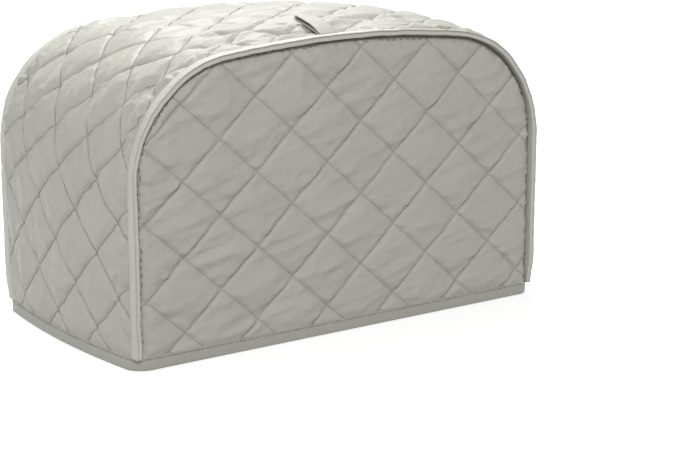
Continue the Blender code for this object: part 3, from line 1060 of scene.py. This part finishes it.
def scatter(name, template, places, forward, up, material):
    """Joins one copy of the template at each place into a single mesh."""
    points, faces = template
    side = np.cross(up, forward)
    side /= np.linalg.norm(side, axis=1, keepdims=True)
    up = np.cross(forward, side)
    world = (
        places[:, None]
        + points[None, :, 0:1] * forward[:, None]
        + points[None, :, 1:2] * side[:, None]
        + points[None, :, 2:3] * up[:, None]
    )
    each = len(points)
    all_faces = [
        [corner + number * each for corner in face] for number in range(len(places)) for face in faces
    ]
    mesh = bpy.data.meshes.new(name)
    mesh.from_pydata(world.reshape(-1, 3), [], all_faces)
    return link(name, mesh, material)


def quilting_stitches(cloth, sizes, half_wide, count_box, inside):
    """Places, directions and normals of the stitches on both families of lines."""
    (u_low, u_high), (v_low, v_high) = count_box
    diagonal = math.hypot(half_wide, sizes.half_high)
    step = sizes.stitch / diagonal
    places, ways, ups = [], [], []
    for slope in (1, -1):
        first = math.floor((v_low - slope * u_high if slope > 0 else v_low + u_low) / 2)
        last = math.ceil((v_high - slope * u_low if slope > 0 else v_high + u_high) / 2)
        for line in range(first, last + 1):
            u = np.arange(u_low, u_high, step)
            v = slope * u + 2 * line
            keep = (v > v_low) & (v < v_high)
            u, v = u[keep], v[keep]
            if u.size == 0:
                continue
            here, a, b = on_cloth(cloth, u, v)
            ok = inside(a, b)
            if not ok.any():
                continue
            ahead, _, _ = on_cloth(cloth, u + 0.02, v + slope * 0.02)
            beside, _, _ = on_cloth(cloth, u - slope * 0.05, v + 0.05)
            behind, _, _ = on_cloth(cloth, u + slope * 0.05, v - 0.05)
            way = ahead - here
            way /= np.linalg.norm(way, axis=1, keepdims=True)
            up = np.cross(way, beside - behind)
            up /= np.linalg.norm(up, axis=1, keepdims=True)
            places.append(here[ok])
            ways.append(way[ok])
            ups.append(up[ok])
    return np.concatenate(places), np.concatenate(ways), np.concatenate(ups)


def seam_stitches(cloth, sizes):
    """Places, directions and normals of the sewing beside a panel's bound seam; its thick dark stitches also
    paint the shade of the gap next to the binding.
    """
    outline = cloth.outline
    end = BAND_HIGH[2] + SEAM_END_GAP
    s = np.arange(end, outline.length - end, SEAM_STITCH)
    flat = np.zeros_like(s)
    s = s + SEAM_WAVER.amount * soft_noise(s / SEAM_WAVER.length, flat, cloth.seed + 60)
    waver = soft_noise(s / SEAM_INWARD_WAVER.length, flat, cloth.seed + 61)
    inward = PANEL_TUCK + SEAM_INWARD + SEAM_INWARD_WAVER.amount * waver
    ends = []
    for reach in (s - 0.0004, s, s + 0.0004):
        x, z, nx, nz = outline.at(reach)
        x = x - nx * inward
        z = z - nz * inward
        u = (x - PANEL_CROSSING[0]) / sizes.half_panel
        v = (z - PANEL_CROSSING[1]) / sizes.half_high
        ends.append(on_cloth(cloth, u, v)[0])
    way = ends[2] - ends[0]
    way /= np.linalg.norm(way, axis=1, keepdims=True)
    up = np.tile((0.0, float(cloth.facing), 0.0), (len(s), 1))
    return ends[1] + up * SEAM_ON_CLOTH, way, up


def hem_stitches(sizes):
    """Places, directions and normals of the sewing that holds the band, just below its top."""
    points, outward, length = hem_plan(sizes)
    s = np.arange(0.0, float(length[-1]), sizes.stitch)
    at = np.stack([np.interp(s, length, points[:, axis]) for axis in (0, 1)], axis=-1)
    ahead = np.stack([np.interp(s + 0.0005, length, points[:, axis]) for axis in (0, 1)], axis=-1)
    up = np.stack([np.interp(s, length, outward[:, axis]) for axis in (0, 1)], axis=-1)
    up /= np.linalg.norm(up, axis=1, keepdims=True)
    way = ahead - at
    way /= np.maximum(np.linalg.norm(way, axis=1, keepdims=True), 1e-9)
    place = at - up * HEM_STITCH_SUNK
    level = np.zeros(len(s))
    return (
        np.column_stack((place, level + BAND_HIGH[2] - HEM_STITCH_DOWN)),
        np.column_stack((way, level)),
        np.column_stack((up, level)),
    )


def on_cloth(cloth, u, v):
    a, b = cloth.flat(u, v)
    lift, _ = cloth.height(u, v, a, b)
    return cloth.points(a, b, lift), a, b


# Materials

def node_group(name, sockets_in, sockets_out):
    group = bpy.data.node_groups.get(name)
    if group:
        return group, None, None
    group = bpy.data.node_groups.new(name, "ShaderNodeTree")
    for label, kind, default in sockets_in:
        socket = group.interface.new_socket(label, in_out="INPUT", socket_type=kind)
        if default is not None:
            socket.default_value = default
    for label, kind in sockets_out:
        group.interface.new_socket(label, in_out="OUTPUT", socket_type=kind)
    source = group.nodes.new("NodeGroupInput")
    target = group.nodes.new("NodeGroupOutput")
    return group, source, target


def math_node(nodes, links, operation, first, second=None):
    node = nodes.new("ShaderNodeMath")
    node.operation = operation
    for number, value in enumerate((first, second)):
        if value is None:
            continue
        if isinstance(value, (int, float)):
            node.inputs[number].default_value = value
        else:
            links.new(value, node.inputs[number])
    return node.outputs[0]


def weave_group():
    """Plain weave: crossing threads as a height and a mask, from a flat place in metres."""
    group, source, target = node_group(
        "plain_weave",
        (("Place", "NodeSocketVector", None), ("Threads per metre", "NodeSocketFloat", 2200.0)),
        (("Height", "NodeSocketFloat"), ("Shade", "NodeSocketFloat")),
    )
    if source is None:
        return group
    nodes, links = group.nodes, group.links
    split = nodes.new("ShaderNodeSeparateXYZ")
    links.new(source.outputs["Place"], split.inputs[0])
    waves = []
    for axis in ("X", "Y"):
        scaled = math_node(nodes, links, "MULTIPLY", split.outputs[axis], source.outputs["Threads per metre"])
        turned = math_node(nodes, links, "MULTIPLY", scaled, math.pi)
        waves.append(math_node(nodes, links, "ABSOLUTE", math_node(nodes, links, "SINE", turned)))
    height = math_node(nodes, links, "MULTIPLY", waves[0], waves[1])
    links.new(height, target.inputs["Height"])
    noise = nodes.new("ShaderNodeTexNoise")
    noise.inputs["Scale"].default_value = 260.0
    noise.inputs["Detail"].default_value = 3.0
    links.new(source.outputs["Place"], noise.inputs["Vector"])
    links.new(noise.outputs["Fac"], target.inputs["Shade"])
    return group


def line_group():
    """Mask of the quilting lines, from half-diamond counts: 1 on a line, 0 away from it; the cloth uses it to
    place painted shade in the grooves.
    """
    group, source, target = node_group(
        "quilting_lines",
        (("Counts", "NodeSocketVector", None), ("Width", "NodeSocketFloat", 0.05)),
        (("Rising", "NodeSocketFloat"), ("Falling", "NodeSocketFloat")),
    )
    if source is None:
        return group
    nodes, links = group.nodes, group.links
    split = nodes.new("ShaderNodeSeparateXYZ")
    links.new(source.outputs["Counts"], split.inputs[0])
    for operation, label in (("SUBTRACT", "Rising"), ("ADD", "Falling")):
        both = math_node(nodes, links, operation, split.outputs["X"], split.outputs["Y"])
        folded = math_node(nodes, links, "PINGPONG", both, 1.0)
        ratio = math_node(nodes, links, "DIVIDE", folded, source.outputs["Width"])
        squared = math_node(nodes, links, "MULTIPLY", ratio, ratio)
        plus = math_node(nodes, links, "ADD", squared, 1.0)
        mask = math_node(nodes, links, "DIVIDE", 1.0, math_node(nodes, links, "MULTIPLY", plus, plus))
        links.new(mask, target.inputs[label])
    return group


def attribute_vector(nodes, name):
    node = nodes.new("ShaderNodeAttribute")
    node.attribute_type = "GEOMETRY"
    node.attribute_name = name
    return node.outputs["Vector"]


def mixed(nodes, links, factor, first, second):
    node = nodes.new("ShaderNodeMix")
    node.data_type = "RGBA"
    links.new(factor, node.inputs["Factor"])
    for value, socket in ((first, node.inputs["A"]), (second, node.inputs["B"])):
        if isinstance(value, tuple):
            socket.default_value = value
        else:
            links.new(value, socket)
    return node.outputs["Result"]


def shaded(colour, share):
    return (colour[0] * share, colour[1] * share, colour[2] * share, 1.0)


def mottled(nodes, links, share, base, shades):
    """Colour that goes from a darker to a lighter shade of one tone."""
    return mixed(nodes, links, share, shaded(base, shades[0]), shaded(base, shades[1]))


def bumped(nodes, links, height, shape):
    """Bump node over a height."""
    bump = nodes.new("ShaderNodeBump")
    bump.inputs["Strength"].default_value = shape.strength
    bump.inputs["Distance"].default_value = shape.distance
    links.new(height, bump.inputs["Height"])
    return bump


def cloth_material(looks, sizes):
    """Satin-faced woven cloth, with painted shade darkening its colour along the stitched grooves."""
    made = bpy.data.materials.new("satin_cloth")
    made.use_nodes = True
    nodes, links = made.node_tree.nodes, made.node_tree.links
    shader = nodes["Principled BSDF"]
    counts = attribute_vector(nodes, "counts")
    metres = nodes.new("ShaderNodeVectorMath")
    metres.operation = "MULTIPLY"
    links.new(counts, metres.inputs[0])
    metres.inputs[1].default_value = (sizes.half_gusset, sizes.half_high, WALL_SHARE)
    weave = nodes.new("ShaderNodeGroup")
    weave.node_tree = weave_group()
    links.new(metres.outputs[0], weave.inputs["Place"])
    lines = nodes.new("ShaderNodeGroup")
    lines.node_tree = line_group()
    lines.inputs["Width"].default_value = LINE_WIDE
    links.new(counts, lines.inputs["Counts"])
    cloudy = nodes.new("ShaderNodeTexNoise")
    cloudy.inputs["Scale"].default_value = CLOUD_SCALE
    cloudy.inputs["Detail"].default_value = 4.0
    links.new(metres.outputs[0], cloudy.inputs["Vector"])
    base = tuple(looks.cloth)
    tone = mottled(nodes, links, cloudy.outputs["Fac"], base, CLOTH_SHADES)
    # Painted shade: the cloth's colour darkens along the quilting lines, where the grooves fall into shade.
    line = math_node(nodes, links, "MAXIMUM", lines.outputs["Rising"], lines.outputs["Falling"])
    line = math_node(nodes, links, "MULTIPLY", line, GROOVE_SHADE_SHARE)
    tone = mixed(nodes, links, line, tone, shaded(base, GROOVE_PAINTED_SHADE))
    links.new(tone, shader.inputs["Base Color"])
    shader.inputs["Roughness"].default_value = looks.roughness
    shader.inputs["Specular IOR Level"].default_value = CLOTH_SHINE
    shader.inputs["Sheen Weight"].default_value = CLOTH_SHEEN
    shader.inputs["Sheen Roughness"].default_value = CLOTH_SHEEN_ROUGHNESS
    bump = bumped(nodes, links, weave.outputs["Height"], CLOTH_WEAVE)
    rumple = nodes.new("ShaderNodeTexNoise")
    rumple.inputs["Scale"].default_value = RUMPLE_SCALE
    rumple.inputs["Detail"].default_value = 5.0
    rumple.inputs["Roughness"].default_value = 0.6
    links.new(metres.outputs[0], rumple.inputs["Vector"])
    soft = bumped(nodes, links, rumple.outputs["Fac"], CLOTH_RUMPLE)
    links.new(bump.outputs["Normal"], soft.inputs["Normal"])
    links.new(soft.outputs["Normal"], shader.inputs["Normal"])
    return made


def tape_material(name, colour, looks):
    """Woven tape, a little rougher than the cloth."""
    made = bpy.data.materials.new(name)
    made.use_nodes = True
    nodes, links = made.node_tree.nodes, made.node_tree.links
    shader = nodes["Principled BSDF"]
    place = attribute_vector(nodes, "fabric")
    weave = nodes.new("ShaderNodeGroup")
    weave.node_tree = weave_group()
    links.new(place, weave.inputs["Place"])
    base = tuple(colour)
    tone = mottled(nodes, links, weave.outputs["Shade"], base, TAPE_SHADES)
    links.new(tone, shader.inputs["Base Color"])
    shader.inputs["Roughness"].default_value = looks.roughness
    shader.inputs["Specular IOR Level"].default_value = TAPE_SHINE
    bump = bumped(nodes, links, weave.outputs["Height"], TAPE_WEAVE)
    links.new(bump.outputs["Normal"], shader.inputs["Normal"])
    return made


# Thread of all the stitching; its dark colour is partly painted shade of the grooves and seam gaps.
def thread_material(looks):
    made = bpy.data.materials.new("quilting_thread_and_shade")
    made.use_nodes = True
    nodes, links = made.node_tree.nodes, made.node_tree.links
    shader = nodes["Principled BSDF"]
    place = nodes.new("ShaderNodeTexCoord").outputs["Object"]
    noise = nodes.new("ShaderNodeTexNoise")
    noise.inputs["Scale"].default_value = THREAD_SCALE
    links.new(place, noise.inputs["Vector"])
    base = tuple(looks.thread)
    tone = mottled(nodes, links, noise.outputs["Fac"], base, THREAD_SHADES)
    links.new(tone, shader.inputs["Base Color"])
    shader.inputs["Roughness"].default_value = THREAD_ROUGHNESS
    return made


def shared(name, make):
    """The scene's own material of this name, made once."""
    return bpy.data.materials.get(name) or make()


def materials():
    scene = bpy.context.scene
    looks, sizes = scene.cover_looks, scene.cover_sizes
    return (
        shared("satin_cloth", lambda: cloth_material(looks, sizes)),
        shared("woven_tape", lambda: tape_material("woven_tape", looks.tape, looks)),
        shared("quilting_thread_and_shade", lambda: thread_material(looks)),
        shared("folded_band", lambda: tape_material("folded_band", looks.hem, looks)),
    )


def dress(piece, slot, *nodes):
    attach(piece, BODY)
    if nodes:
        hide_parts(*nodes)


# Operators

class COVER_OT_camera(bpy.types.Operator):
    """Set up the camera at the photograph's viewing angle"""

    bl_idname = "cover.camera"
    bl_label = "Camera"

    def execute(self, context):
        data = bpy.data.cameras.new("camera")
        data.sensor_width = SENSOR_MM
        data.lens = LENS_PX * SENSOR_MM / PHOTO_WIDTH_PX
        data.clip_start = 0.05
        camera = bpy.data.objects.new("camera", data)
        context.scene.collection.objects.link(camera)
        camera.location = CAMERA_AT
        aim = Vector(CAMERA_AIM) - Vector(CAMERA_AT)
        camera.rotation_euler = aim.to_track_quat("-Z", "Y").to_euler()
        context.scene.camera = camera
        return {"FINISHED"}


class COVER_OT_panels(bpy.types.Operator):
    """Make the two quilted end panels"""

    bl_idname = "cover.panels"
    bl_label = "End panels"

    def execute(self, context):
        sizes = context.scene.cover_sizes
        cloth, _, thread, _ = materials()
        rows = (
            ("front_cloth", -1, 21, "front_panel", "front_binding"),
            ("back_cloth", 1, 31, "back_panel", "back_binding"),
        )
        for name, facing, seed, node, seam in rows:
            piece, shape = make_panel(name, sizes, cloth, facing, seed)
            dress(piece, CLOTH_SLOT, node)
            places, ways, ups = quilting_stitches(
                shape, sizes, sizes.half_panel, ((-2, 12), (-1, 8)),
                shape.open_cloth,
            )
            template = stitch_template(sizes.stitch * STITCH_FILLS, STITCH_THICK)
            threads = scatter(name.replace("cloth", "thread"), template, places, ways, ups, thread)
            heavy = stitch_template(SEAM_STITCH * SEAM_STITCH_FILLS, SEAM_STITCH_THICK)
            sewn = scatter(
                name.replace("cloth", "seam_thread_and_shade"), heavy, *seam_stitches(shape, sizes), thread,
            )
            dress(sewn, CLOTH_SLOT)
            dress(threads, CLOTH_SLOT)
        return {"FINISHED"}


class COVER_OT_gusset(bpy.types.Operator):
    """Make the long quilted gusset"""

    bl_idname = "cover.gusset"
    bl_label = "Gusset"

    def execute(self, context):
        sizes = context.scene.cover_sizes
        cloth, _, thread, _ = materials()
        piece, shape = make_gusset(sizes, cloth)
        dress(piece, CLOTH_SLOT, "gusset")
        length = shape.outline.length
        rows = math.ceil((length - GUSSET_CROSSING[1]) / sizes.half_high)
        low = BAND_HIGH[2]
        edge = GUSSET_TUCK + SEAM_CLEAR
        places, ways, ups = quilting_stitches(
            shape, sizes, sizes.half_gusset, ((-2, 9), (-2, rows + 1)),
            lambda behind, s: (behind > edge) & (behind < sizes.depth - edge)
            & (s > low) & (s < length - low),
        )
        template = stitch_template(sizes.stitch * STITCH_FILLS, STITCH_THICK)
        threads = scatter("gusset_thread", template, places, ways, ups, thread)
        dress(threads, CLOTH_SLOT)
        return {"FINISHED"}


class COVER_OT_bindings(bpy.types.Operator):
    """Make the two bound seams"""

    bl_idname = "cover.bindings"
    bl_label = "Bound seams"

    def execute(self, context):
        sizes = context.scene.cover_sizes
        _, tape, _, _ = materials()
        for name, facing, seed, node in (
            ("front_seam_tape", -1, 51, "front_binding"),
            ("back_seam_tape", 1, 61, "back_binding"),
        ):
            piece = make_binding(name, sizes, tape, facing, seed)
            dress(piece, TAPE_SLOT, node)
        return {"FINISHED"}


class COVER_OT_hem(bpy.types.Operator):
    """Make the plain band round the open bottom"""

    bl_idname = "cover.hem"
    bl_label = "Hem band"

    def execute(self, context):
        sizes = context.scene.cover_sizes
        _, _, thread, band = materials()
        piece = make_hem(sizes, band)
        dress(piece, TAPE_SLOT, "hem_band")
        template = stitch_template(sizes.stitch * HEM_STITCH_FILLS, HEM_STITCH_THICK)
        dress(scatter("hem_thread", template, *hem_stitches(sizes), thread), TAPE_SLOT)
        return {"FINISHED"}


class COVER_OT_strap(bpy.types.Operator):
    """Make the short strap loop on the top"""

    bl_idname = "cover.strap"
    bl_label = "Strap loop"

    def execute(self, context):
        sizes = context.scene.cover_sizes
        _, _, _, band = materials()
        piece = make_strap(sizes, band)
        dress(piece, TAPE_SLOT, "strap_loop")
        return {"FINISHED"}


class COVER_OT_stage(bpy.types.Operator):
    """Set out the pale floor and the soft studio lights"""

    bl_idname = "cover.stage"
    bl_label = "Stage"

    def execute(self, context):
        scene = context.scene
        scene.view_settings.view_transform = "Standard"
        world = bpy.data.worlds.new("studio")
        scene.world = world
        world.use_nodes = True
        sky = world.node_tree.nodes["Background"]
        sky.inputs["Color"].default_value = (1.0, 1.0, 1.0, 1.0)
        sky.inputs["Strength"].default_value = WORLD_STRENGTH
        bm = bmesh.new()
        bmesh.ops.create_grid(bm, x_segments=1, y_segments=1, size=FLOOR_SIZE)
        floor = link("floor", mesh_of("floor", bm), floor_material())
        floor.visible_diffuse = False
        for lamp in LAMPS:
            data = bpy.data.lights.new(lamp.name, "AREA")
            data.shape = "DISK"
            data.size = lamp.size
            data.energy = lamp.watts
            placed = bpy.data.objects.new(lamp.name, data)
            scene.collection.objects.link(placed)
            placed.location = lamp.place
            aim = Vector(lamp.aim) - Vector(lamp.place)
            placed.rotation_euler = aim.to_track_quat("-Z", "Y").to_euler()
        return {"FINISHED"}


def floor_material():
    made = bpy.data.materials.new("pale_floor")
    made.use_nodes = True
    shader = made.node_tree.nodes["Principled BSDF"]
    shader.inputs["Base Color"].default_value = (FLOOR_TONE, FLOOR_TONE, FLOOR_TONE, 1.0)
    shader.inputs["Roughness"].default_value = 0.8
    shader.inputs["Emission Color"].default_value = (1.0, 1.0, 1.0, 1.0)
    shader.inputs["Emission Strength"].default_value = FLOOR_GLOW
    return made


class COVER_PT_panel(bpy.types.Panel):
    """Sizes, looks and steps of the cover"""

    bl_idname = "COVER_PT_panel"
    bl_label = "Quilted cover"
    bl_space_type = "VIEW_3D"
    bl_region_type = "UI"
    bl_category = "Cover"

    def draw(self, context):
        layout = self.layout
        for group in (context.scene.cover_sizes, context.scene.cover_looks):
            column = layout.column(align=True)
            for name in group.bl_rna.properties.keys():
                if name not in ("rna_type", "name"):
                    column.prop(group, name)
        column = layout.column(align=True)
        for operator in STEPS:
            column.operator(operator.bl_idname)


STEPS = (
    COVER_OT_camera,
    COVER_OT_panels,
    COVER_OT_gusset,
    COVER_OT_bindings,
    COVER_OT_hem,
    COVER_OT_strap,
    COVER_OT_stage,
)
CLASSES = (CoverSizes, CoverLooks, *STEPS, COVER_PT_panel)


def register():
    for cls in CLASSES:
        bpy.utils.register_class(cls)
    bpy.types.Scene.cover_sizes = PointerProperty(type=CoverSizes)
    bpy.types.Scene.cover_looks = PointerProperty(type=CoverLooks)


def unregister():
    del bpy.types.Scene.cover_looks
    del bpy.types.Scene.cover_sizes
    for cls in reversed(CLASSES):
        bpy.utils.unregister_class(cls)


def main():
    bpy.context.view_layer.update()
    register()
    bpy.ops.cover.camera()
    bpy.ops.cover.panels()
    bpy.ops.cover.gusset()
    bpy.ops.cover.bindings()
    bpy.ops.cover.hem()
    bpy.ops.cover.strap()
    bpy.ops.cover.stage()


if __name__ == "__main__":
    main()
